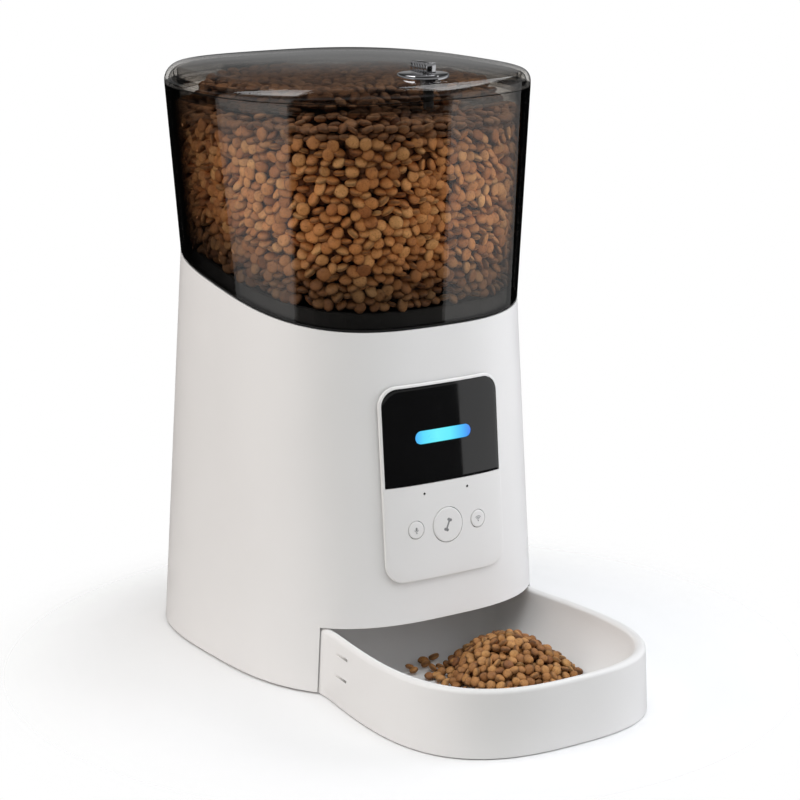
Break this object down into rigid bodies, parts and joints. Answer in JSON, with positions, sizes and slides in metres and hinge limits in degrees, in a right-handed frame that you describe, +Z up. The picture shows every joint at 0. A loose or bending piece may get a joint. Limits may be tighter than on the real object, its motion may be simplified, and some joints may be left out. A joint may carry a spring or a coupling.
{
  "type": "automatic pet feeder",
  "caption": "Countertop dry-food dispenser for pets: smoky hinged-lid hopper on a white tapered housing with a control panel, paddle rotor and pull-out bowl tray.",
  "frame": {"origin": "on the floor, under the centre of the whole feeder's bounding box, bowl included", "axes": "+Z up, the control panel and bowl face -Y, +X is to the right of someone who faces the panel from behind it, that is to the right when looking along +Y"},
  "size_m": [0.2058, 0.3552, 0.3613],
  "materials": {
    "white_abs": "satin white moulded ABS",
    "smoky_plastic": "dark transparent polycarbonate, polished",
    "black_plastic": "fine matt",
    "gloss_black": "high gloss",
    "led_glow": "lit light-guide, cyan",
    "rubber": "matt",
    "silicone": "soft silicone",
    "steel": "machined",
    "nickel": "nickel plated",
    "circuit_board": "solder mask",
    "nylon": "natural nylon",
    "battery_wrap": "plain printed wrap",
    "chrome": "polished"
  },
  "bodies": {
    "housing": {"housing_shell": "white_abs", "food_chute": "white_abs", "panel_bezel": "white_abs", "hopper_tank": "smoky_plastic", "latch_keeper": "smoky_plastic", "base_plate": "black_plastic", "dc_jack": "black_plastic", "funnel": "black_plastic", "rotor_chamber": "black_plastic", "chamber_cover": "black_plastic", "gear_cover": "black_plastic", "ir_emitter": "black_plastic", "ir_receiver": "black_plastic", "speaker": "black_plastic", "battery_box": "black_plastic", "display_window": "gloss_black", "led_bar": "led_glow", "foot_front_left": "rubber", "foot_front_right": "rubber", "foot_rear_left": "rubber", "foot_rear_right": "rubber", "hopper_seal": "rubber", "base_screw_1": "steel", "base_screw_2": "steel", "base_screw_3": "steel", "base_screw_4": "steel", "hinge_pin": "steel", "gear_motor": "steel", "radio_module": "nickel", "battery_contact_left": "nickel", "battery_contact_right": "nickel", "main_board": "circuit_board", "button_board": "circuit_board", "mic_switch": "nylon", "feed_switch": "nylon", "wifi_switch": "nylon", "battery_1": "battery_wrap", "battery_2": "battery_wrap", "battery_3": "battery_wrap"},
    "lid_body": {"lid": "smoky_plastic", "lid_gasket": "smoky_plastic", "knob_plate": "chrome"},
    "knob_body": {"lock_knob": "chrome", "lock_cam": "smoky_plastic"},
    "bowl_body": {"bowl_tray": "white_abs"},
    "feed_button_body": {"feed_button": "white_abs"},
    "mic_button_body": {"mic_button": "white_abs"},
    "wifi_button_body": {"wifi_button": "white_abs"},
    "rotor_body": {"rotor": "silicone", "rotor_shaft": "steel", "drive_gear": "nylon"},
    "pinion_body": {"motor_pinion": "nylon", "motor_shaft": "steel"},
    "battery_cover_body": {"battery_cover": "black_plastic"}
  },
  "joints": [
    {"name": "lid_hinge", "type": "hinge", "parent": "housing", "child": "lid_body", "pos_m": [0, 0.1648, 0.3419], "axis": [-1, 0, 0], "range_deg": [0, 80]},
    {"name": "lid_lock_turn", "type": "hinge", "parent": "lid_body", "child": "knob_body", "pos_m": [0, -0.0309, 0.351], "axis": [0, 0, 1], "range_deg": [-90, 0]},
    {"name": "bowl_pull", "type": "slide", "parent": "housing", "child": "bowl_body", "axis": [0, -1, 0], "range_m": [0, 0.14]},
    {"name": "feed_press", "type": "slide", "parent": "housing", "child": "feed_button_body", "axis": [0, 1, 0], "range_m": [0, 0.0008], "stiffness_N_per_m": 1500},
    {"name": "mic_press", "type": "slide", "parent": "housing", "child": "mic_button_body", "axis": [0, 1, 0], "range_m": [0, 0.0008], "stiffness_N_per_m": 1500},
    {"name": "wifi_press", "type": "slide", "parent": "housing", "child": "wifi_button_body", "axis": [0, 1, 0], "range_m": [0, 0.0008], "stiffness_N_per_m": 1500},
    {"name": "rotor_turn", "type": "hinge", "parent": "housing", "child": "rotor_body", "pos_m": [0, 0.0476, 0.122], "axis": [1, 0, 0], "continuous": true},
    {"name": "pinion_turn", "type": "hinge", "parent": "housing", "child": "pinion_body", "pos_m": [0.0416, 0.078, 0.122], "axis": [1, 0, 0], "continuous": true},
    {"name": "battery_cover_slide", "type": "slide", "parent": "housing", "child": "battery_cover_body", "axis": [0, -1, 0], "range_m": [0, 0.012]}
  ],
  "couplings": [
    {"joint": "pinion_turn", "follows": "rotor_turn", "ratio": -3}
  ]
}
